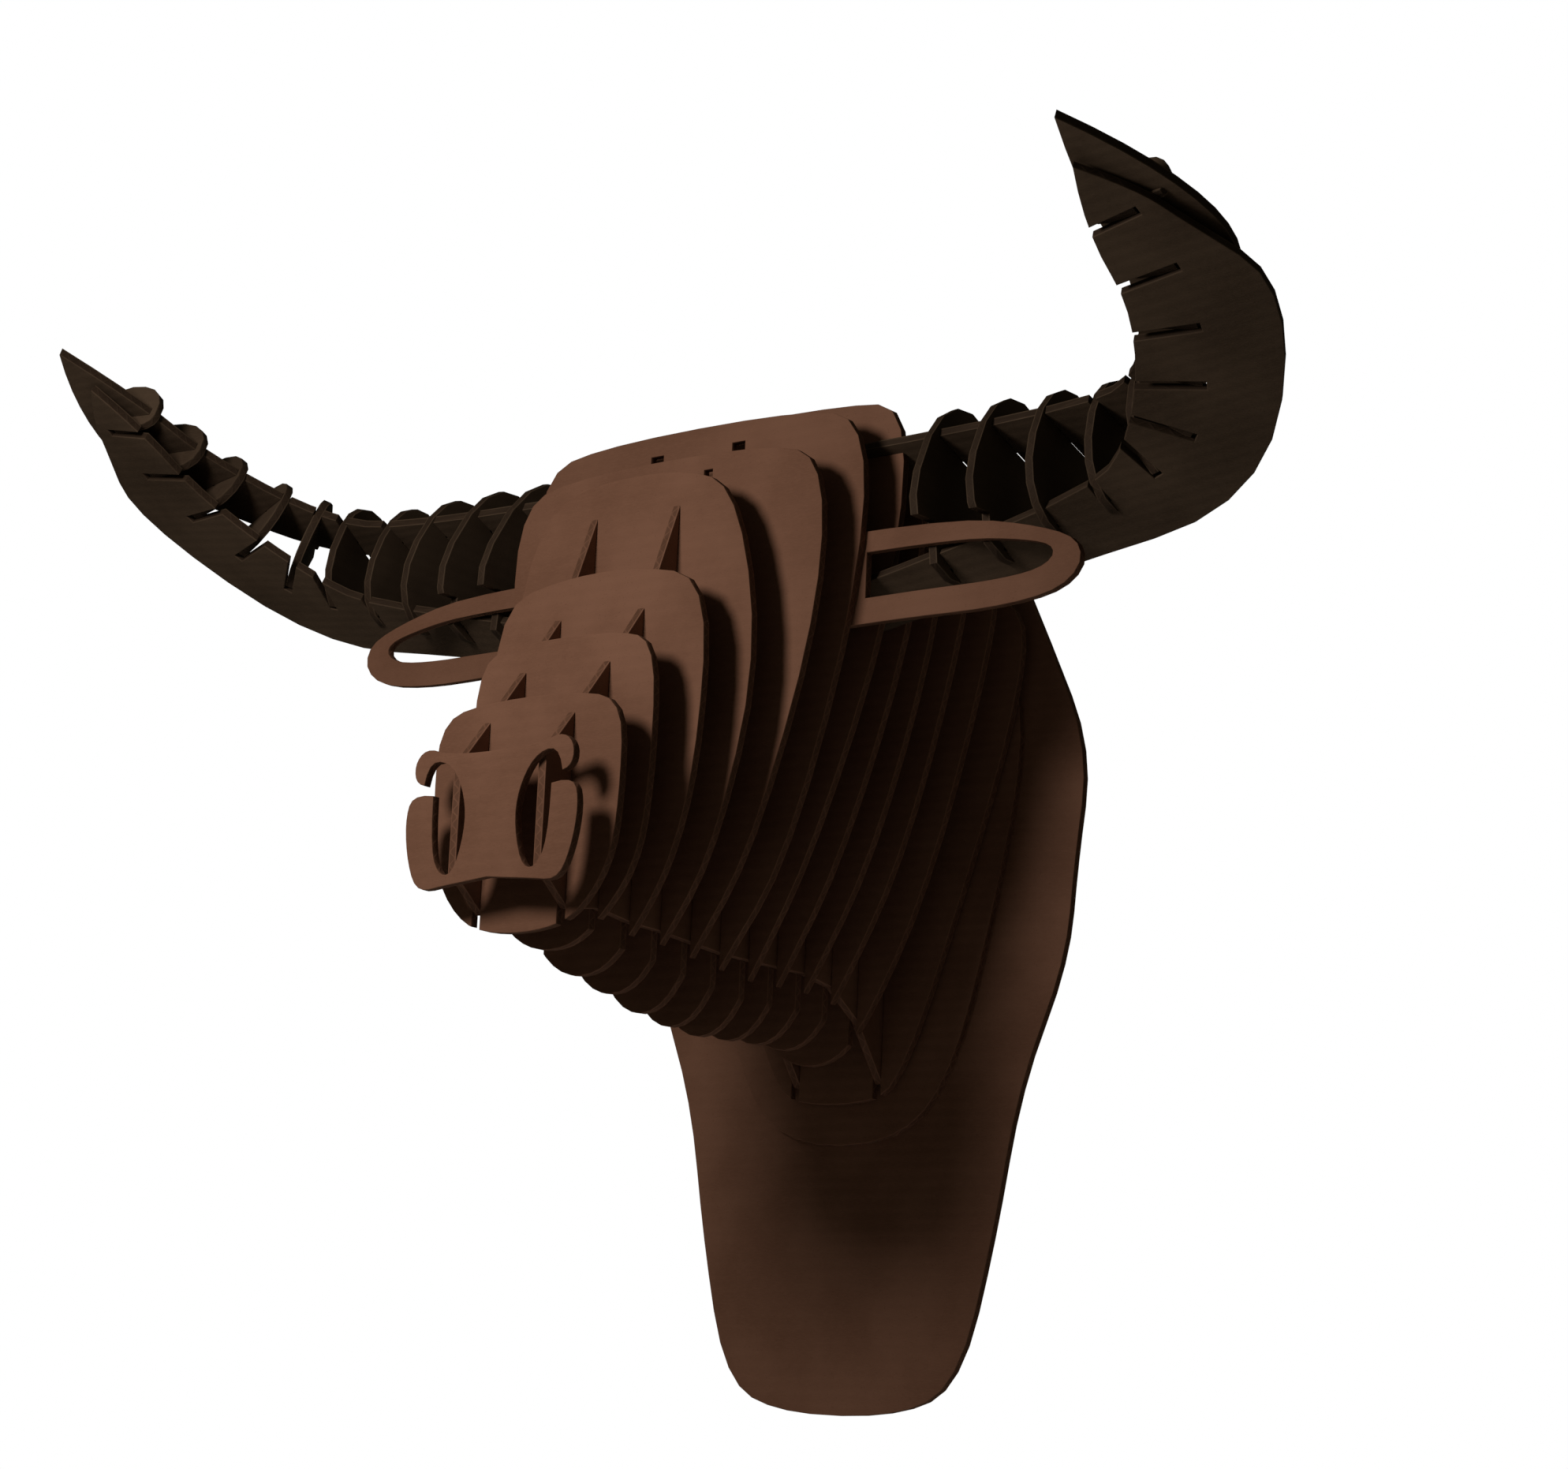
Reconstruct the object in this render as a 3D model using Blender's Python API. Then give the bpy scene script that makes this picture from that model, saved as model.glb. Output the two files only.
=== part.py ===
"""A bull's head for the wall, slotted together from flat sheets of board.

The wall is the plane y = 0 and the head stands out from it towards -y. The origin is
the wall fixing, on the rear face of the back board. Heights in the values below are
measured up from the lowest point of the back board, and level() turns them into z.
"""
import math

import bpy
import bmesh
from mathutils import Matrix, Vector
from mathutils.geometry import tessellate_polygon

# The sheet and its joints
SHEET = 0.005
GAP = 0.0003
LAP_ROOM = 0.0012
FIXING_HEIGHT = 0.400

# The back board and the neck board that lies on it
BACK_HEIGHT = 0.503
BACK_WIDTH = 0.302
BACK_WIDEST = 0.375
STEM_WIDTH = 0.205
STEM_HEIGHT = 0.100
NECK_WIDTH = 0.186
NECK_FOOT = 0.154
NECK_TOP = 0.450

# The cross boards, counted from the muzzle to the neck
RIB_COUNT = 12
RIB_PITCH = 0.026
RIB_AIR = 0.0029

# The two long boards that carry the cross boards
LONG_OFFSET = 0.029

# The horns: two sloping boards and a row of discs on each side
HORN_REACH = 0.342
HORN_HEIGHT = 0.5163
UPPER_SLOPE = 0.372
LOWER_DROP = 0.104
CLOSING_OUTWARDS = 0.618
CLOSING_FORWARDS = 0.585
HORN_ROOT = 0.064
HORN_LAP = 0.088
DISC_COUNT = 10
DISC_PITCH = 0.0345
DISC_START = 0.153
DISC_RADIUS = 0.039
DISC_FOOT = 0.006
DISC_PROUD = 0.003
DISC_SHY = 0.0045
DISC_ROUNDING = 2.3
DISC_TURNS = 18
DOME = 0.032

# The ears
EAR_ROOT = 0.092
EAR_TIP = 0.251
EAR_MIDDLE = 0.441
EAR_TALL = 0.053
EAR_RIM = 0.012

# The muzzle board
MUZZLE_WIDTH = 0.115
MUZZLE_FOOT = 0.259
MUZZLE_TOP = 0.325
BRIDGE_WIDTH = 0.040

STEPS = 4
BOARD_COLOUR = (0.165, 0.078, 0.048, 1.0)
HORN_COLOUR = (0.075, 0.042, 0.027, 1.0)

# Each row is one cross board of the head, as half widths and heights: the crown's
# height and half width, the shoulder's, the cheek's, the chap's and the jaw's, then
# the keel's height and the height of the long boards' upper edge.
SECTIONS = {
    1: ((0.359, 0.030), (0.0630, 0.352), (0.0640, 0.305), (0.060, 0.268), (0.040, 0.241), 0.234, 0.351),
    2: ((0.397, 0.036), (0.0620, 0.388), (0.0620, 0.318), (0.056, 0.272), (0.034, 0.244), 0.229, 0.384),
    3: ((0.439, 0.026), (0.0740, 0.428), (0.0720, 0.335), (0.058, 0.278), (0.035, 0.241), 0.219, 0.419),
    4: ((0.500, 0.034), (0.0700, 0.484), (0.0900, 0.388), (0.064, 0.285), (0.034, 0.240), 0.213, 0.486),
    5: ((0.516, 0.070), (0.1090, 0.502), (0.1080, 0.415), (0.069, 0.290), (0.034, 0.238), 0.206, 0.502),
    6: ((0.542, 0.070), (0.1170, 0.531), (0.1160, 0.440), (0.074, 0.290), (0.034, 0.236), 0.202, 0.524),
    7: ((0.551, 0.082), (0.1280, 0.543), (0.1180, 0.430), (0.072, 0.300), (0.036, 0.236), 0.200, 0.534),
    9: ((0.520, 0.072), (0.1200, 0.510), (0.1100, 0.420), (0.075, 0.305), (0.036, 0.236), 0.202, 0.505),
    10: ((0.505, 0.070), (0.1200, 0.495), (0.1090, 0.420), (0.076, 0.305), (0.036, 0.232), 0.202, 0.490),
    11: ((0.490, 0.066), (0.1200, 0.480), (0.1120, 0.420), (0.077, 0.295), (0.036, 0.216), 0.196, 0.475),
    12: ((0.475, 0.065), (0.1220, 0.465), (0.1180, 0.405), (0.084, 0.295), (0.044, 0.184), 0.177, 0.460),
}
FIELDS = 5


def level(height):
    """Turns a height above the foot of the back board into a z."""
    return height - FIXING_HEIGHT


def back_stack():
    """How far the back board and the neck board stand out from the wall."""
    return 2 * SHEET + 2 * GAP


def rib_y(index):
    """The middle of a cross board. Number 0 is the muzzle board."""
    last = back_stack() + RIB_AIR + SHEET / 2
    return -(last + (RIB_COUNT - index) * RIB_PITCH)


def section(index):
    """A cross board's row, worked out between its neighbours where it has none."""
    if index in SECTIONS:
        return SECTIONS[index]
    low = max(key for key in SECTIONS if key < index)
    high = min(key for key in SECTIONS if key > index)
    share = (index - low) / (high - low)
    mixed = []
    for one, two in zip(SECTIONS[low], SECTIONS[high]):
        if isinstance(one, tuple):
            mixed.append(tuple(a + (b - a) * share for a, b in zip(one, two)))
        else:
            mixed.append(one + (two - one) * share)
    return mixed


def smooth(points, steps=STEPS):
    """A smooth open line that starts and ends on its first and last points."""
    made = [Vector(points[0])]
    for before, at, after in zip(points, points[1:], points[2:]):
        before, at, after = Vector(before), Vector(at), Vector(after)
        start = made[-1] if len(made) == 1 else (before + at) / 2
        end = after if after == Vector(points[-1]) else (at + after) / 2
        for step in range(1, steps + 1):
            t = step / steps
            made.append(start * (1 - t) ** 2 + at * 2 * t * (1 - t) + end * t * t)
    return made


def mirrored(half):
    """Closes a right half, drawn from its top middle to its bottom middle."""
    left = [Vector((-p.x, p.y)) for p in reversed(half) if abs(p.x) > 1e-6]
    return half + left


def material(name, colour):
    made = bpy.data.materials.new(name)
    made.use_nodes = True
    shader = made.node_tree.nodes["Principled BSDF"]
    shader.inputs["Base Color"].default_value = colour
    shader.inputs["Roughness"].default_value = 0.9
    shader.inputs["Metallic"].default_value = 0.0
    return made


def board(name, loops, frame, finish):
    """One flat board. Its first loop is its outline and the others are holes."""
    sized = [[Vector((p[0] * 1000, p[1] * 1000, 0)) for p in loop] for loop in loops]
    flat = [p for loop in loops for p in loop]
    count = len(flat)
    mesh = bmesh.new()
    low = [mesh.verts.new((p[0], p[1], -SHEET / 2)) for p in flat]
    high = [mesh.verts.new((p[0], p[1], SHEET / 2)) for p in flat]
    if len(loops) == 1:
        mesh.faces.new(low)
        mesh.faces.new(high[::-1])
    else:
        for a, b, c in tessellate_polygon(sized):
            mesh.faces.new((low[a], low[b], low[c]))
            mesh.faces.new((high[c], high[b], high[a]))
    first = 0
    for loop in loops:
        for step in range(len(loop)):
            a = first + step
            b = first + (step + 1) % len(loop)
            mesh.faces.new((low[a], low[b], high[b], high[a]))
        first += len(loop)
    assert first == count
    bmesh.ops.recalc_face_normals(mesh, faces=mesh.faces[:])
    data = bpy.data.meshes.new(name)
    mesh.to_mesh(data)
    mesh.free()
    data.materials.append(finish)
    made = bpy.data.objects.new(name, data)
    made.matrix_world = frame
    bpy.context.scene.collection.objects.link(made)
    return made


def cut(target, blocks):
    """Takes blocks out of a board. Each block is a frame and its three sizes."""
    if not blocks:
        return
    mesh = bmesh.new()
    for frame, size in blocks:
        bmesh.ops.create_cube(mesh, size=1.0, matrix=frame @ Matrix.Diagonal((*size, 1.0)))
    bmesh.ops.recalc_face_normals(mesh, faces=mesh.faces[:])
    data = bpy.data.meshes.new(target.name + "_slots")
    mesh.to_mesh(data)
    mesh.free()
    cutter = bpy.data.objects.new(data.name, data)
    cutter.hide_render = True
    cutter.display_type = "WIRE"
    bpy.context.scene.collection.objects.link(cutter)
    slots = target.modifiers.new("slots", "BOOLEAN")
    slots.operation = "DIFFERENCE"
    slots.solver = "EXACT"
    slots.use_self = True
    slots.object = cutter


def upright(y):
    """The frame of a board that is parallel to the wall: its x and y are x and z."""
    turn = Matrix.Rotation(math.pi / 2, 4, "X")
    return Matrix.Translation((0, y, 0)) @ turn


def axes(origin, first, second, third):
    """A frame from its origin and three directions."""
    frame = Matrix((first, second, third)).transposed().to_4x4()
    frame.translation = origin
    return frame


def box_between(low, high):
    """A block that lies along the world's axes."""
    low, high = Vector(low), Vector(high)
    return Matrix.Translation((low + high) / 2), tuple(high - low)


# The head

def back_outline():
    """A tongue: round above, narrower below the neck, with a round foot."""
    half, stem = BACK_WIDTH / 2, STEM_WIDTH / 2
    points = [
        (0, BACK_HEIGHT), (half * 0.66, BACK_HEIGHT), (half * 0.85, BACK_HEIGHT * 0.88),
        (half * 1.05, BACK_WIDEST), (half * 0.995, BACK_WIDEST * 0.83), (half * 0.97, BACK_WIDEST * 0.68),
        (stem * 1.14, STEM_HEIGHT * 1.85), (stem, STEM_HEIGHT), (stem * 0.80, STEM_HEIGHT * 0.18),
        (stem * 0.40, 0), (0, 0),
    ]
    return mirrored(smooth([(x, level(z)) for x, z in points]))


def neck_outline():
    half = NECK_WIDTH / 2
    points = [
        (0, NECK_TOP), (half * 1.05, NECK_TOP), (half * 1.30, NECK_TOP * 0.87),
        (half * 1.06, NECK_TOP * 0.62), (half * 0.80, NECK_FOOT * 1.24), (half * 0.42, NECK_FOOT), (0, NECK_FOOT),
    ]
    return mirrored(smooth([(x, level(z)) for x, z in points]))


def rib_outline(index):
    (crown, crown_half), shoulder, cheek, chap, jaw, keel, _ = section(index)
    points = [
        (0, crown), (crown_half, crown), shoulder, cheek, chap, jaw, (jaw[0] * 0.40, keel), (0, keel),
    ]
    return mirrored(smooth([(x, level(z)) for x, z in points]))


def long_top(index):
    """The height of the long boards' upper edge where they cross a cross board."""
    if index == 0:
        return MUZZLE_TOP - SHEET / 2
    return section(index)[FIELDS + 1]


def long_foot(index):
    """The height of their lower edge, level with the cross boards' jaws."""
    if index == 0:
        return MUZZLE_FOOT + SHEET
    jaw_half, jaw_height = section(index)[FIELDS - 1]
    return jaw_height + (LONG_OFFSET + SHEET) / jaw_half * SHEET


def lap_height(index):
    """Where the slot of a cross board ends and that of a long board begins."""
    return (long_top(index) + long_foot(index)) / 2


def make_long_board(name, side, finish):
    front = rib_y(0) + SHEET / 2 + GAP
    rear = -back_stack() - GAP
    stations = range(RIB_COUNT + 1)
    top = [(max(rib_y(k), front), level(long_top(k))) for k in stations]
    foot = [(max(rib_y(k), front), level(long_foot(k))) for k in stations]
    outline = top + [(rear, top[-1][1]), (rear, foot[-1][1])] + foot[::-1]
    frame = axes((side * LONG_OFFSET, 0, 0), (0, 1, 0), (0, 0, 1), (1, 0, 0))
    made = board(name, [outline], frame, finish)
    half = SHEET / 2 + GAP
    blocks = []
    for k in range(1, RIB_COUNT + 1):
        y, z = rib_y(k), level(lap_height(k)) - GAP
        blocks.append(box_between((-SHEET + side * LONG_OFFSET, y - half, z),
                                  (SHEET + side * LONG_OFFSET, y + half, level(long_top(k)) + 0.1)))
    cut(made, blocks)
    return made


def make_rib(index, finish, extra):
    y = rib_y(index)
    made = board(f"cross_board_{index:02d}", [rib_outline(index)], upright(y), finish)
    half = SHEET / 2 + GAP
    blocks = list(extra)
    for side in (-1, 1):
        x = side * LONG_OFFSET
        blocks.append(box_between((x - half, y - SHEET, level(0.1)),
                                  (x + half, y + SHEET, level(lap_height(index)) + GAP)))
    cut(made, blocks)
    return made


def muzzle_loops():
    """The front board: two lobes round two tall nostrils that open to the sides."""
    half, bridge = MUZZLE_WIDTH / 2, BRIDGE_WIDTH / 2
    foot, top = MUZZLE_FOOT, MUZZLE_TOP
    tall = top - foot
    outer_top = top - tall * 0.29
    half_line = smooth([(0, top), (half * 0.52, top), (half * 0.80, top + tall * 0.09),
                        (half * 0.95, top - tall * 0.02), (half * 0.93, top - tall * 0.20),
                        (half * 0.82, top - tall * 0.22)])
    nostril = smooth([(half * 0.82, top - tall * 0.22), (half * 0.78, top - tall * 0.02),
                      (bridge * 1.45, top - tall * 0.06), (bridge * 0.95, top - tall * 0.30),
                      (bridge * 0.82, foot + tall * 0.42), (bridge * 1.15, foot + tall * 0.05),
                      (half * 0.58, foot + tall * 0.04), (half * 0.70, foot + tall * 0.28),
                      (half * 0.70, outer_top - tall * 0.02)])
    lobe = smooth([(half * 0.70, outer_top - tall * 0.02), (half * 0.95, outer_top + tall * 0.02),
                   (half * 1.03, outer_top - tall * 0.18), (half * 0.98, foot + tall * 0.20),
                   (half * 0.84, foot - tall * 0.08), (half * 0.52, foot - tall * 0.04), (0, foot)])
    line = half_line + nostril[1:] + lobe[1:]
    return [mirrored([Vector((p.x, level(p.y))) for p in line])]


# The horns

def horn_y():
    """The line of the horns, just behind the seventh cross board's middle."""
    return rib_y(7) + SHEET + 0.001


def upper_height(x, y):
    return HORN_HEIGHT - UPPER_SLOPE * (y - horn_y())


def lower_height(x, y):
    """The lower board closes in on the upper one both outwards and forwards."""
    closing = LOWER_DROP / HORN_REACH
    rise = CLOSING_OUTWARDS * closing
    slope = UPPER_SLOPE + CLOSING_FORWARDS * closing
    return HORN_HEIGHT - LOWER_DROP + rise * x - slope * (y - horn_y())


def plan(points):
    """Horn points, given as shares of the reach, out from the middle and forwards."""
    return [(x * HORN_REACH, horn_y() - forward * HORN_REACH) for x, forward in points]


TIP = (1.002, 0.608)
MIDDLE_LINE = ((0.35, 0.0), (0.73, 0.0), (0.93, 0.03), (1.030, 0.19), (1.040, 0.36), TIP)
UPPER_INNER = ((0.187, 0.040), (0.70, 0.040), (0.85, 0.100), (0.95, 0.31), (0.955, 0.46), TIP)
UPPER_OUTER = ((0.187, -0.018), (0.72, -0.035), (0.91, 0.020), (1.055, 0.19), (1.14, 0.32), (1.085, 0.50), TIP)
LOWER_INNER = ((0.187, 0.056), (0.72, 0.056), (0.85, 0.13), (0.955, 0.30), (0.955, 0.45), (0.99, 0.54))
LOWER_OUTER = ((0.187, -0.036), (0.60, -0.034), (0.98, -0.050), (1.185, 0.25), (1.09, 0.41), (1.055, 0.475), (0.99, 0.54))


def horn_edges(points):
    return [Vector(p) for p in smooth(plan(points), 5)]


def raised(height, p, side=1):
    """The point of a sloping board over a point of the plan."""
    return Vector((side * p[0], p[1], level(height(p[0], p[1]))))


def sloping_frame(height, side):
    """A frame in a sloping board: x along its root and z down through the sheet."""
    origin = raised(height, (0, horn_y()), side)
    out = (raised(height, (1, horn_y()), side) - origin) * side
    ahead = raised(height, (0, horn_y() - 1), side) - origin
    normal = out.cross(ahead).normalized()
    first = out.normalized()
    return axes(origin, first, normal.cross(first), normal)


def make_horn_board(name, sloping, side, finish):
    height, inner, outer = sloping
    frame = sloping_frame(height, side)
    back = frame.inverted()
    line = horn_edges(inner) + horn_edges(outer)[::-1]
    if (line[0] - line[-1]).length < SHEET / 10:
        line.pop()
    flat = [back @ raised(height, p, side) for p in line]
    tidy = [flat[0]]
    for p in flat[1:]:
        if (p - tidy[-1]).length > SHEET / 10:
            tidy.append(p)
    made = board(name, [[(p.x, p.y) for p in tidy]], frame, finish)
    cut(made, board_blocks(sloping, side))
    return made


def reach(line, origin, way):
    """How far a plan line lies from a point, along a direction."""
    best = 0.0
    for a, b in zip(line, line[1:]):
        span = b - a
        cross = way.x * span.y - way.y * span.x
        if abs(cross) < 1e-9:
            continue
        gap = a - origin
        along = (gap.x * span.y - gap.y * span.x) / cross
        share = (gap.x * way.y - gap.y * way.x) / cross
        if -0.001 <= share <= 1.001 and abs(along) < 2.5 * DISC_RADIUS:
            best = max(best, along)
    return best


def disc_places():
    """Plan point, plan direction and run of each disc along the horn's middle line."""
    line = horn_edges(MIDDLE_LINE)
    places = []
    run = 0.0
    wanted = DISC_START - line[0].x
    for a, b in zip(line, line[1:]):
        length = (b - a).length
        while len(places) < DISC_COUNT and run + length >= wanted:
            way = (b - a) / length
            places.append((a + way * (wanted - run), way, len(places) / (DISC_COUNT - 1)))
            wanted += DISC_PITCH
        run += length
    return places


def disc_frame(place, way, side):
    """A disc's frame: x along the horn, y inwards and z up between the two boards."""
    def middle(p):
        height = (upper_height(*p) + lower_height(*p)) / 2
        return Vector((side * p[0], p[1], level(height)))
    origin = middle(place)
    along = (middle(place + way * SHEET) - origin).normalized()
    turned = Vector((way.y, -way.x))
    inwards = (middle(place + turned * SHEET) - origin)
    inwards = (inwards - along * inwards.dot(along)).normalized()
    up = along.cross(inwards) * -side
    return axes(origin, inwards.cross(up), inwards, up)


def ease(t):
    t = min(max(t, 0.0), 1.0)
    return t * t * (3 - 2 * t)


def disc_form(place, way, share):
    """A disc's reach inwards and outwards, its middle's height and its reach above and below."""
    turned = Vector((way.y, -way.x))
    inner = reach(horn_edges(UPPER_INNER), place, turned)
    outer = reach(horn_edges(UPPER_OUTER), place, -turned)
    apart = (upper_height(*place) - lower_height(*place)) * 0.93
    late = ease(share / 0.6)
    inwards = DISC_RADIUS + (inner + DISC_PROUD - DISC_RADIUS) * late
    outwards = DISC_RADIUS * 0.8 + (max(outer - DISC_SHY, SHEET) - DISC_RADIUS * 0.8) * ease(share / 0.75)
    centre = apart / 2 * late
    above = apart / 2 - centre + DOME * (1 - 0.3 * late)
    below = apart / 2 + centre + DISC_FOOT * (1 - late)
    return inwards, outwards, centre, above, below


def disc_outline(form):
    """A round disc at the root that turns into a low dome towards the tip."""
    inwards, outwards, centre, above, below = form
    power = 2 / DISC_ROUNDING
    points = []
    for step in range(DISC_TURNS):
        angle = 2 * math.pi * step / DISC_TURNS
        c, s = math.cos(angle), math.sin(angle)
        wide = math.copysign(abs(c) ** power, c) * (inwards if c > 0 else outwards)
        tall = math.copysign(abs(s) ** power, s) * (above if s > 0 else below)
        points.append((wide, centre + tall))
    return points


def disc_holds(form, across, height):
    """Whether a point lies inside a disc's outline."""
    inwards, outwards, centre, above, below = form
    wide = abs(across) / (inwards if across > 0 else outwards)
    tall = abs(height - centre) / (above if height > centre else below)
    return wide ** DISC_ROUNDING + tall ** DISC_ROUNDING < 1


def crossing(sloping, place, way, share, side):
    """Where a sloping board crosses a disc: the middle of the lap, the line's direction
    inwards in both sheets, and how far the board still runs that way."""
    height, inner, outer = sloping
    frame = disc_frame(place, way, side)
    along, inwards, up = frame.to_3x3().col
    normal = sloping_frame(height, side).to_3x3().col[2]
    rise = (raised(height, place, side) - frame.translation).dot(normal) / up.dot(normal)
    start = frame.translation + up * rise
    line = normal.cross(along).normalized()
    if line.dot(inwards) < 0:
        line.negate()
    flat = Vector((side * line.x, line.y))
    at = Vector((side * start.x, start.y))
    board_in = reach(horn_edges(inner), at, flat.normalized()) / flat.length
    board_out = reach(horn_edges(outer), at, -flat.normalized()) / flat.length
    form = disc_form(place, way, share)
    steps = [step * SHEET / 5 for step in range(-80, 81)]
    held = [s for s in steps if disc_holds(form, s * line.dot(inwards), rise + s * line.dot(up))] or [0.0]
    middle = (max(held[0], -board_out) + min(held[-1], board_in)) / 2
    return start + line * middle, line, board_in - middle


def disc_blocks(place, way, share, side):
    """The slots that let the two sloping boards into a disc, from its outer side."""
    blocks = []
    long = 3 * DISC_RADIUS
    for sloping in BOARDS:
        middle, line, _ = crossing(sloping, place, way, share, side)
        normal = sloping_frame(sloping[0], side).to_3x3().col[2]
        centre = middle - line * (long / 2 - LAP_ROOM)
        frame = axes(centre, line.cross(normal), line, normal)
        blocks.append((frame, (4 * SHEET, long, SHEET + 2 * GAP)))
    return blocks


def board_blocks(sloping, side):
    """The slots of one sloping board for its discs and for the cross boards."""
    blocks = []
    for place, way, share in disc_places():
        middle, line, inside = crossing(sloping, place, way, share, side)
        along = disc_frame(place, way, side).to_3x3().col[0]
        long = inside + 2 * SHEET
        frame = axes(middle + line * (long / 2 - LAP_ROOM), along, line, along.cross(line))
        blocks.append((frame, (SHEET + 2 * GAP, long, 8 * SHEET)))
    for index in crossed_ribs(sloping):
        half = SHEET / 2 + GAP
        y = rib_y(index)
        ends = sorted((side * (HORN_ROOT - SHEET), side * (HORN_LAP + LAP_ROOM)))
        blocks.append(box_between((ends[0], y - half, level(0.3)), (ends[1], y + half, level(0.7))))
    return blocks


def crossed_ribs(sloping):
    """The cross boards that lie between the two edges of a sloping board's root."""
    _, inner, outer = sloping
    front = plan(inner)[0][1] - SHEET
    rear = plan(outer)[0][1] + SHEET
    return [k for k in range(1, RIB_COUNT + 1) if front < rib_y(k) < rear]


def rib_blocks(index):
    """The slots in a cross board's sides that the sloping boards are pushed into."""
    blocks = []
    long = 0.1
    for sloping in BOARDS:
        if index not in crossed_ribs(sloping):
            continue
        height = sloping[0]
        for side in (-1, 1):
            frame = sloping_frame(height, side)
            at = raised(height, (HORN_LAP - LAP_ROOM, rib_y(index)), side)
            out = frame.to_3x3().col[0] * side
            frame.translation = at + out * long / 2
            blocks.append((frame, (long, 4 * SHEET, SHEET + 2 * GAP)))
    return blocks


BOARDS = (
    (upper_height, UPPER_INNER, UPPER_OUTER),
    (lower_height, LOWER_INNER, LOWER_OUTER),
)


# The ears

def ear_y():
    """The ears lie on the rear face of the sixth cross board."""
    return rib_y(6) + SHEET + GAP


def ear_outline(side, inset):
    """A leaf, rounded at its tip. An inset gives the leaf-shaped hole."""
    low = level(EAR_MIDDLE - EAR_TALL / 2) + inset * 1.25
    high = level(EAR_MIDDLE + EAR_TALL / 2) - inset
    tall = high - low
    tip = EAR_TIP - inset * 1.4
    root = EAR_ROOT + inset * 2.0
    middle = low + tall * 0.36
    run = tip - root
    above = smooth([(root, high), (root + run * 0.50, high), (root + run * 0.82, high - tall * 0.20),
                    (tip + run * 0.02, middle + tall * 0.20), (tip, middle - tall * 0.02)])
    below = smooth([(tip, middle - tall * 0.02), (tip - run * 0.03, low + tall * 0.12),
                    (root + run * 0.70, low), (root + run * 0.30, low + tall * 0.03), (root, low + tall * 0.02)])
    line = above + below[1:]
    return [(side * p.x, p.y) for p in line]


def make_ear(name, side, finish):
    loops = [ear_outline(side, 0.0), ear_outline(side, EAR_RIM)]
    return board(name, loops, upright(ear_y()), finish)


def ear_blocks(side):
    """The notch that an ear stands in, open to the front."""
    half = SHEET / 2 + GAP
    ends = sorted((side * (EAR_ROOT - GAP), side * (EAR_ROOT + (EAR_TIP - EAR_ROOT) * 0.80)))
    top = level(EAR_MIDDLE + EAR_TALL / 2) + LAP_ROOM
    return [box_between((ends[0], ear_y() - half - DISC_RADIUS, level(0.30)), (ends[1], ear_y() + half, top))]


def main():
    for old in list(bpy.data.objects):
        bpy.data.objects.remove(old, do_unlink=True)
    face = material("brown_board", BOARD_COLOUR)
    horn = material("dark_board", HORN_COLOUR)

    board("back_board", [back_outline()], upright(-SHEET / 2), face)
    board("neck_board", [neck_outline()], upright(-SHEET * 1.5 - GAP), face)
    for index in range(1, RIB_COUNT + 1):
        make_rib(index, face, rib_blocks(index))
    board("muzzle_board", muzzle_loops(), upright(rib_y(0)), face)
    for word, side in (("right", -1), ("left", 1)):
        make_long_board(f"long_board_{word}", side, face)
        make_ear(f"ear_{word}", side, face)
        make_horn_board(f"horn_upper_board_{word}", BOARDS[0], side, horn)
        make_horn_board(f"horn_lower_board_{word}", BOARDS[1], side, horn)
        for number, (place, way, share) in enumerate(disc_places(), 1):
            frame = disc_frame(place, way, side)
            turn = axes((0, 0, 0), (0, 1, 0), (0, 0, 1), (1, 0, 0))
            outline = disc_outline(disc_form(place, way, share))
            disc = board(f"horn_disc_{word}_{number}", [outline], frame @ turn, horn)
            for block in disc_blocks(place, way, share, side) + ear_blocks(side):
                cut(disc, [block])


main()
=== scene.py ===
"""Dresses the slotted bull's head: finished boards, corrugated rims, studio light and camera.

Every board of the frame is rebuilt as a finished sheet: two liners, an edge slightly
crushed by cutting, and a fluted core that shows on the rim. The sheets keep the shape
and the place of the frame's nodes, and two cross boards get small windows as well.
Lengths are in metres in the frame's own axes.
"""
import math

import bpy
import bmesh
from mathutils import Matrix, Vector


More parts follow.
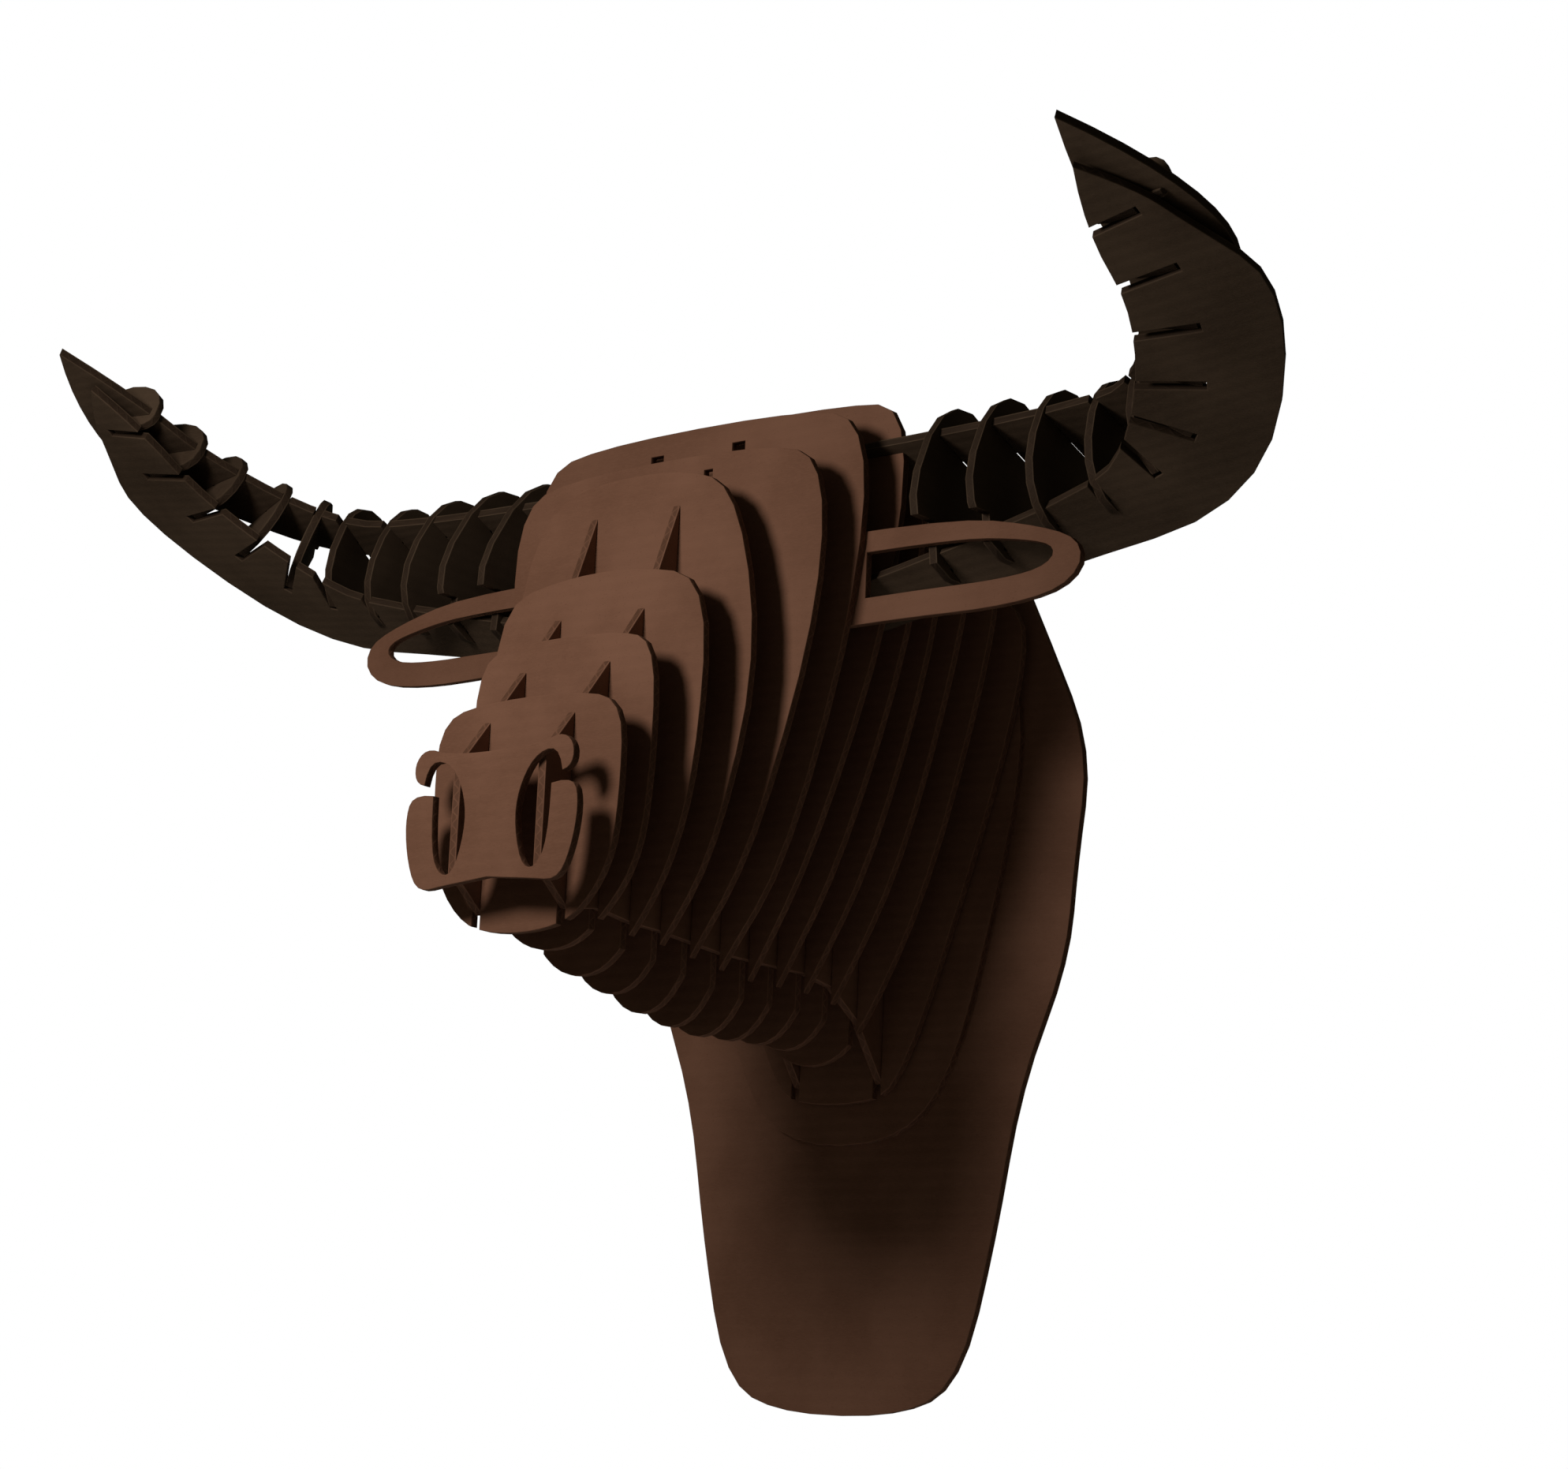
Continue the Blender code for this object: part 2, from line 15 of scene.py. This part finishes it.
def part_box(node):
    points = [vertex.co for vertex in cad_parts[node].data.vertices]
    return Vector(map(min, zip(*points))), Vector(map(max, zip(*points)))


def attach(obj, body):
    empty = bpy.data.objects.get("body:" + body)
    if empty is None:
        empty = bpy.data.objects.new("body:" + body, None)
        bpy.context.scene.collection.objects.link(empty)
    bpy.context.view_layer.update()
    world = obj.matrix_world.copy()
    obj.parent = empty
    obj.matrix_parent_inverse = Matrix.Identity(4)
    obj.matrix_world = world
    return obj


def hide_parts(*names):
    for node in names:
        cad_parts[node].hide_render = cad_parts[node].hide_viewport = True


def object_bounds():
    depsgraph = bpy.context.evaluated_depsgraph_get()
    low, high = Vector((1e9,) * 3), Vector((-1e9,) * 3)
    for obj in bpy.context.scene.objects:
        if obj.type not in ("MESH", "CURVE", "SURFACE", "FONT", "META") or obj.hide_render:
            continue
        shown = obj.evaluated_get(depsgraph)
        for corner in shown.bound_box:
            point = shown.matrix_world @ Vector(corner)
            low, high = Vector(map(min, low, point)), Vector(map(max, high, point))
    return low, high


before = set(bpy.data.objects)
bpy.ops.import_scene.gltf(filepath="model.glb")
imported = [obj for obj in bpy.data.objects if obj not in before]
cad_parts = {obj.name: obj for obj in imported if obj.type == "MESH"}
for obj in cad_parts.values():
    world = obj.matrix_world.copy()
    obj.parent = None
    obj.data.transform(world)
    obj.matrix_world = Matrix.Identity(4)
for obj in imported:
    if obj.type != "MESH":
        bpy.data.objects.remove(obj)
CAD_BOX = [list(corner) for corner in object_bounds()]

# The sheet
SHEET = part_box("back_board")[1][1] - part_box("back_board")[0][1]
LINER = SHEET * 0.13
FLUTE_PITCH = SHEET * 1.45
CRUSH = SHEET * 0.08
CRUSH_STEPS = 2
CRUSH_PROFILE = 0.6
WELD = SHEET / 500

# What counts as flat, smooth, a face rather than the rim, sideways and lying
FLAT_ANGLE = math.radians(0.5)
SMOOTH_ANGLE = math.radians(35)
CAP_DOT = 0.9
SIDEWAYS_DOT = 0.1
LYING_DOT = 0.6

# The colours, linear
BROWN = (0.200, 0.098, 0.062)
BROWN_PALE = (0.255, 0.132, 0.087)
BROWN_DEEP = (0.135, 0.062, 0.036)
# The horns' three colours are painted shade: the board's own colours darkened for the shade the
# horns lie in
HORN_SHADED_BROWN = (0.075, 0.048, 0.030)
HORN_SHADED_PALE = (0.120, 0.084, 0.057)
HORN_SHADED_DEEP = (0.036, 0.023, 0.014)
# Near-black brown, used for the scorch on the cut rims and for painted shade in the open flutes
# and on the horns' rims
SCORCH_AND_SHADE = (0.030, 0.016, 0.009)

# The liner: each pattern's scale and detail, its ramp, and the share it is mixed in by
CLOUDS = (14.0, 4.0)
CLOUD_RAMP = (0.34, 0.68)
EVEN_SHARE = 0.55
FIBRES = (260.0, 2.0, 0.7)
FIBRE_STRETCH = (1.0, 6.0, 6.0)
FIBRE_RAMP = (0.35, 0.75)
FIBRE_SHARE = 0.30
FLECKS = (900.0, 1.0)
FLECK_RAMP = (0.66, 0.74)
FLECK_SHARE = 0.35
RIDGE_SHARE = 0.03

# The cut rim: where the core starts, the flutes' height, the medium's soft edge, the burn, and
# the painted shade in the open flutes
CORE_HALF = SHEET / 2 - LINER
CORE_START = CORE_HALF * 0.94
FLUTE_HEIGHT = CORE_HALF * 0.86
MEDIUM_EDGE = (SHEET * 0.10, SHEET * 0.18)
RIM_CLOUDS = (60.0, 3.0)
RIM_RAMP = (0.30, 0.70)
BROWN_BURN = 0.10
# The horns' rims: scorch from cutting, with more darkening on top of it as painted shade
HORN_BURN_AND_SHADE = 0.50
# The open flutes darkened as painted shade, and the share of that painted shade on the rim
HOLLOW_SHADE = 0.45
HOLLOW_SHADE_SHARE = 0.55

# Gloss and relief
ROUGHNESS = 0.74
FIBRE_ROUGHNESS = 0.16
SPECULAR = 0.25
FLUTE_RELIEF = 0.35
FIBRE_RELIEF = 0.30
HOLLOW_RELIEF = 1.2
RELIEF_STRENGTH = 0.5
RELIEF_DEPTH = SHEET * 0.05

# The small windows over the long boards: half width, middle's z and half height
LONG_MIDDLE = (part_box("long_board_left")[0][0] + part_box("long_board_left")[1][0]) / 2
WINDOWS = {
    "cross_board_05": (0.0030, 0.1030, 0.0036),
    "cross_board_06": (0.0045, 0.1270, 0.0028),
}

# The camera
CAMERA_PLACE = (1.1330, -1.5905, -0.4324)
CAMERA_YAW = math.radians(36.66)
CAMERA_PITCH = math.radians(11.59)
CAMERA_ROLL = math.radians(2.36)
CAMERA_LENS = 76.88
CAMERA_SENSOR = 36.0
CAMERA_SHIFT = (-0.0080, 0.0319)

# The floor, well below the hanging head
FLOOR_DROP = 0.85
FLOOR_SIZE = 3.2
FLOOR_COLOUR = (0.62, 0.60, 0.58)
FLOOR_ROUGHNESS = 0.8

# The lights: place, aim, size, power and colour
WHITE = (1.0, 1.0, 1.0, 1.0)
FILL_COLOUR = (1.0, 0.90, 0.64, 1.0)
FILL_STRENGTH = 0.045
KEY_LIGHT = ((-0.05, -0.90, 0.19), (0, -0.10, -0.05), 0.20, 3.0, (1.0, 0.90, 0.80))
FLOOR_LIGHT = ((0, -0.15, -0.62), (0, -0.15, -1.2), 1.6, 5.0, (1.0, 0.95, 0.88))


# Sheets

def sheet_axes(mesh):
    """The middle of a flat board, and its directions: along the flutes, across, through."""
    widest = max(mesh.faces, key=lambda face: face.calc_area())
    through = widest.normal.copy()
    if through.y > 0 or (abs(through.y) < SIDEWAYS_DOT and through.x < 0):
        through.negate()
    along = Vector((0, 0, 1)).cross(through)
    if abs(through.z) > LYING_DOT:
        along = Vector((1, 0, 0)) - through * through.x
    along.normalize()
    across = through.cross(along)
    heights = [v.co.dot(through) for v in mesh.verts]
    middle = through * (min(heights) + max(heights)) / 2
    return middle, along, across, through


def crush_edges(mesh, through):
    """Rounds the edges between a board's faces and its rim, as a knife or a laser leaves them."""
    edges = []
    for edge in mesh.edges:
        if len(edge.link_faces) != 2:
            continue
        caps = [abs(face.normal.dot(through)) > CAP_DOT for face in edge.link_faces]
        if caps[0] != caps[1]:
            edges.append(edge)
    bmesh.ops.bevel(mesh, geom=edges, offset=CRUSH, segments=CRUSH_STEPS,
                    profile=CRUSH_PROFILE, affect="EDGES", clamp_overlap=True)


def opened(source, window):
    """A copy of a cross board's mesh with a small window over each long board."""
    half_width, middle_z, half_height = window
    low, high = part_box(source.name)
    cubes = bmesh.new()
    for side in (-1, 1):
        middle = Vector((side * LONG_MIDDLE, (low[1] + high[1]) / 2, middle_z))
        size = Matrix.Diagonal((2 * half_width, 4 * SHEET, 2 * half_height, 1.0))
        bmesh.ops.create_cube(cubes, size=1.0, matrix=Matrix.Translation(middle) @ size)
    data = bpy.data.meshes.new("windows")
    cubes.to_mesh(data)
    cubes.free()
    cutter = bpy.data.objects.new("windows", data)
    bpy.context.scene.collection.objects.link(cutter)
    uncut = bpy.data.objects.new("uncut", source.data)
    uncut.matrix_world = source.matrix_world
    bpy.context.scene.collection.objects.link(uncut)
    cut = uncut.modifiers.new("windows", "BOOLEAN")
    cut.operation = "DIFFERENCE"
    cut.solver = "EXACT"
    cut.object = cutter
    ready = bpy.context.evaluated_depsgraph_get()
    made = bpy.data.meshes.new_from_object(uncut.evaluated_get(ready))
    bpy.data.objects.remove(uncut)
    bpy.data.objects.remove(cutter)
    return made


def finished_board(node, finish):
    """A finished sheet in the place of a node of the frame."""
    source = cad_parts[node]
    mesh = bmesh.new()
    mesh.from_mesh(opened(source, WINDOWS[node]) if node in WINDOWS else source.data)
    mesh.transform(source.matrix_world)
    bmesh.ops.remove_doubles(mesh, verts=mesh.verts[:], dist=WELD)
    bmesh.ops.dissolve_limit(mesh, angle_limit=FLAT_ANGLE, verts=mesh.verts[:],
                             edges=mesh.edges[:], use_dissolve_boundaries=False)
    bmesh.ops.recalc_face_normals(mesh, faces=mesh.faces[:])
    middle, along, across, through = sheet_axes(mesh)
    crush_edges(mesh, through)
    for edge in mesh.edges:
        faces = edge.link_faces
        caps = [abs(face.normal.dot(through)) > CAP_DOT for face in faces]
        turn = faces[0].normal.angle(faces[1].normal, 0.0) if len(faces) == 2 else math.pi
        edge.smooth = turn < SMOOTH_ANGLE and not any(caps)
    for face in mesh.faces:
        face.smooth = True
    place = mesh.verts.layers.float_vector.new("sheet")
    for vert in mesh.verts:
        offset = vert.co - middle
        vert[place] = Vector((offset.dot(along), offset.dot(across), offset.dot(through)))
    data = bpy.data.meshes.new(node + "_sheet")
    mesh.to_mesh(data)
    mesh.free()
    data.materials.append(finish)
    piece = bpy.data.objects.new(node + "_sheet", data)
    bpy.context.scene.collection.objects.link(piece)
    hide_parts(node)
    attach(piece, "root")


# Materials

class Nodes:
    """Short names for the shader nodes that the board material is made of."""

    def __init__(self, name):
        self.material = bpy.data.materials.new(name)
        self.material.use_nodes = True
        self.tree = self.material.node_tree
        self.shader = self.tree.nodes["Principled BSDF"]

    def link(self, source, target):
        self.tree.links.new(source, target)

    def fill(self, socket, value):
        """Feeds a socket with another socket, a number or a colour."""
        if isinstance(value, bpy.types.NodeSocket):
            self.link(value, socket)
        elif isinstance(value, tuple):
            socket.default_value = (*value, 1.0)
        else:
            socket.default_value = value

    def maths(self, operation, *values):
        node = self.tree.nodes.new("ShaderNodeMath")
        node.operation = operation
        for socket, value in zip(node.inputs, values):
            self.fill(socket, value)
        return node.outputs[0]

    def between(self, value, low, high):
        """0 below low, 1 above high, and a smooth ramp between them."""
        node = self.tree.nodes.new("ShaderNodeMapRange")
        node.interpolation_type = "SMOOTHSTEP"
        self.fill(node.inputs["Value"], value)
        node.inputs["From Min"].default_value = low
        node.inputs["From Max"].default_value = high
        return node.outputs["Result"]

    def mix(self, share, one, two):
        node = self.tree.nodes.new("ShaderNodeMix")
        node.data_type = "RGBA"
        self.fill(node.inputs["Factor"], share)
        self.fill(node.inputs["A"], one)
        self.fill(node.inputs["B"], two)
        return node.outputs["Result"]

    def noise(self, vector, scale, detail, roughness=0.55):
        node = self.tree.nodes.new("ShaderNodeTexNoise")
        node.inputs["Scale"].default_value = scale
        node.inputs["Detail"].default_value = detail
        node.inputs["Roughness"].default_value = roughness
        self.link(vector, node.inputs["Vector"])
        return node.outputs["Fac"]

    def stretched(self, vector, scale):
        node = self.tree.nodes.new("ShaderNodeVectorMath")
        node.operation = "MULTIPLY"
        self.link(vector, node.inputs[0])
        node.inputs[1].default_value = scale
        return node.outputs["Vector"]


def board_material(name, colour, pale, deep, burn_and_shade):
    """Corrugated board: mottled fibrous liners over faint flutes, and a fluted core on the rim.

    The last argument is the share by which the rim is darkened: scorch from cutting, and on the
    horns painted shade as well. The open flutes on the rim are darkened as painted shade.
    """
    n = Nodes(name)
    sheet = n.tree.nodes.new("ShaderNodeAttribute")
    sheet.attribute_name = "sheet"
    place = sheet.outputs["Vector"]
    parts = n.tree.nodes.new("ShaderNodeSeparateXYZ")
    n.link(place, parts.inputs[0])
    across, through = parts.outputs["Y"], parts.outputs["Z"]
    world = n.tree.nodes.new("ShaderNodeTexCoord").outputs["Object"]

    # The liner
    clouds = n.between(n.noise(world, *CLOUDS), *CLOUD_RAMP)
    fibres = n.noise(n.stretched(world, FIBRE_STRETCH), *FIBRES)
    flecks = n.between(n.noise(world, *FLECKS), *FLECK_RAMP)
    wave = n.maths("SINE", n.maths("MULTIPLY", across, 2 * math.pi / FLUTE_PITCH))
    liner = n.mix(clouds, deep, pale)
    liner = n.mix(EVEN_SHARE, liner, colour)
    strands = n.maths("MULTIPLY", n.between(fibres, *FIBRE_RAMP), FIBRE_SHARE)
    liner = n.mix(strands, liner, pale)
    liner = n.mix(n.maths("MULTIPLY", flecks, FLECK_SHARE), liner, deep)
    ridge = n.maths("MULTIPLY_ADD", wave, RIDGE_SHARE, RIDGE_SHARE)
    liner = n.mix(ridge, liner, deep)

    # The core, between the two liners, with painted shade in its open flutes
    depth = n.maths("ABSOLUTE", through)
    core = n.maths("SUBTRACT", 1.0, n.between(depth, CORE_START, CORE_HALF))
    medium = n.maths("MULTIPLY", wave, FLUTE_HEIGHT)
    off_medium = n.maths("ABSOLUTE", n.maths("SUBTRACT", through, medium))
    gap = n.between(off_medium, *MEDIUM_EDGE)
    rim_clouds = n.between(n.noise(world, *RIM_CLOUDS), *RIM_RAMP)
    # The open flutes of the core are painted dark: painted shade where the core is hollow
    hollow_shade = n.mix(HOLLOW_SHADE, deep, SCORCH_AND_SHADE)
    solid = n.mix(burn_and_shade, n.mix(rim_clouds, colour, deep), SCORCH_AND_SHADE)
    cut_edge = n.mix(n.maths("MULTIPLY", gap, HOLLOW_SHADE_SHARE), solid, hollow_shade)
    n.link(n.mix(core, liner, cut_edge), n.shader.inputs["Base Color"])

    # Roughness and relief
    roughness = n.maths("MULTIPLY_ADD", fibres, FIBRE_ROUGHNESS, ROUGHNESS)
    n.link(roughness, n.shader.inputs["Roughness"])
    n.shader.inputs["Specular IOR Level"].default_value = SPECULAR
    relief = n.maths("MULTIPLY", wave, FLUTE_RELIEF)
    relief = n.maths("MULTIPLY_ADD", fibres, FIBRE_RELIEF, relief)
    hollows = n.maths("MULTIPLY", n.maths("MULTIPLY", core, gap), HOLLOW_RELIEF)
    relief = n.maths("SUBTRACT", relief, hollows)
    bump = n.tree.nodes.new("ShaderNodeBump")
    bump.inputs["Strength"].default_value = RELIEF_STRENGTH
    bump.inputs["Distance"].default_value = RELIEF_DEPTH
    n.link(relief, bump.inputs["Height"])
    n.link(bump.outputs["Normal"], n.shader.inputs["Normal"])
    return n.material


def plain_material(name, colour, roughness):
    material = bpy.data.materials.new(name)
    material.use_nodes = True
    shader = material.node_tree.nodes["Principled BSDF"]
    shader.inputs["Base Color"].default_value = (*colour, 1.0)
    shader.inputs["Roughness"].default_value = roughness
    return material


# Surroundings

def make_floor():
    low, high = CAD_BOX
    half = FLOOR_SIZE / 2
    middle_x, middle_y = (low[0] + high[0]) / 2, (low[1] + high[1]) / 2
    data = bpy.data.meshes.new("floor")
    corners = [(middle_x + x * half, middle_y + y * half, low[2] - FLOOR_DROP)
               for x, y in ((-1, -1), (1, -1), (1, 1), (-1, 1))]
    data.from_pydata(corners, [], [(0, 1, 2, 3)])
    data.materials.append(plain_material("pale_floor", FLOOR_COLOUR, FLOOR_ROUGHNESS))
    floor = bpy.data.objects.new("floor", data)
    bpy.context.scene.collection.objects.link(floor)


def make_world():
    """White behind the object, and a dim warm fill on it."""
    world = bpy.data.worlds.new("studio")
    bpy.context.scene.world = world
    world.use_nodes = True
    tree = world.node_tree
    seen = tree.nodes["Background"]
    seen.inputs["Color"].default_value = WHITE
    seen.inputs["Strength"].default_value = 1.0
    fill = tree.nodes.new("ShaderNodeBackground")
    fill.inputs["Color"].default_value = FILL_COLOUR
    fill.inputs["Strength"].default_value = FILL_STRENGTH
    path = tree.nodes.new("ShaderNodeLightPath")
    choose = tree.nodes.new("ShaderNodeMixShader")
    tree.links.new(path.outputs["Is Camera Ray"], choose.inputs["Fac"])
    tree.links.new(fill.outputs[0], choose.inputs[1])
    tree.links.new(seen.outputs[0], choose.inputs[2])
    tree.links.new(choose.outputs[0], tree.nodes["World Output"].inputs["Surface"])


def make_light(name, place, aim, size, power, colour):
    data = bpy.data.lights.new(name, "AREA")
    data.shape = "DISK"
    data.size = size
    data.energy = power
    data.color = colour
    light = bpy.data.objects.new(name, data)
    light.location = place
    way = Vector(aim) - Vector(place)
    light.rotation_euler = way.to_track_quat("-Z", "Y").to_euler()
    bpy.context.scene.collection.objects.link(light)


def make_camera():
    data = bpy.data.cameras.new("photo_camera")
    data.lens = CAMERA_LENS
    data.sensor_width = CAMERA_SENSOR
    data.shift_x, data.shift_y = CAMERA_SHIFT
    ahead = Vector((-math.sin(CAMERA_YAW) * math.cos(CAMERA_PITCH),
                    math.cos(CAMERA_YAW) * math.cos(CAMERA_PITCH), math.sin(CAMERA_PITCH)))
    level_right = ahead.cross(Vector((0, 0, 1))).normalized()
    level_up = level_right.cross(ahead)
    right = level_right * math.cos(CAMERA_ROLL) + level_up * math.sin(CAMERA_ROLL)
    up = level_up * math.cos(CAMERA_ROLL) - level_right * math.sin(CAMERA_ROLL)
    camera = bpy.data.objects.new("photo_camera", data)
    camera.matrix_world = Matrix((right, up, -ahead)).transposed().to_4x4()
    camera.location = CAMERA_PLACE
    bpy.context.scene.collection.objects.link(camera)
    bpy.context.scene.camera = camera


def main():
    brown = board_material("brown_board_finish", BROWN, BROWN_PALE, BROWN_DEEP, BROWN_BURN)
    # The horns take a darker copy of the board finish as painted shade
    dark = board_material("dark_board_finish", HORN_SHADED_BROWN, HORN_SHADED_PALE, HORN_SHADED_DEEP, HORN_BURN_AND_SHADE)
    for node in sorted(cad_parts):
        if node.startswith("horn"):
            finished_board(node, dark)
        else:
            finished_board(node, brown)
    make_floor()
    make_world()
    make_light("key", *KEY_LIGHT)
    make_light("floor_light", *FLOOR_LIGHT)
    make_camera()
    bpy.context.scene.view_settings.view_transform = "Standard"


main()
